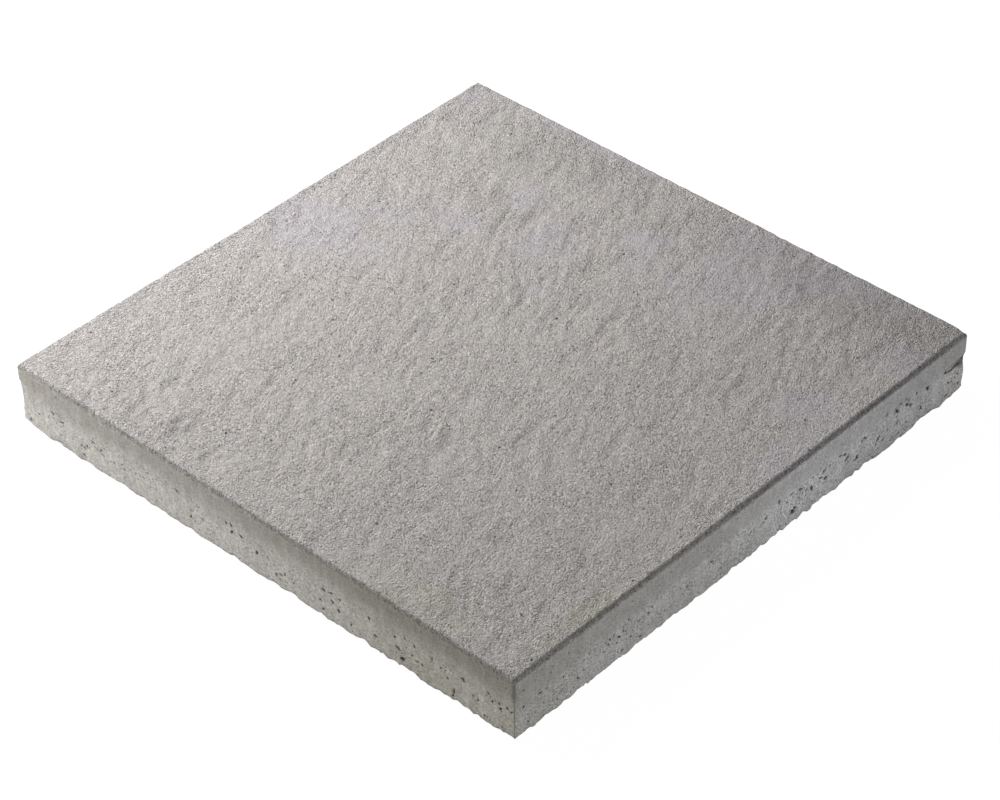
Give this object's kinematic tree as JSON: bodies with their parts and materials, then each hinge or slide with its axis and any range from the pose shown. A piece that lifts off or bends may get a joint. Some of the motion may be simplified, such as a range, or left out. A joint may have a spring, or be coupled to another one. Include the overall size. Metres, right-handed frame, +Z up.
{
  "type": "concrete paving slab",
  "caption": "Square pressed concrete paving slab with a lightly riven wearing face, a bevelled top arris and a rough, torn lower edge.",
  "frame": {"origin": "centre of the underside, on the ground that the slab lies on", "axes": "+Z up out of the wearing face; X and Y along the slab's sides"},
  "size_m": [0.45, 0.45, 0.052],
  "materials": {
    "concrete": "matte"
  },
  "bodies": {
    "root": {"paving_slab": "concrete"}
  },
  "joints": []
}
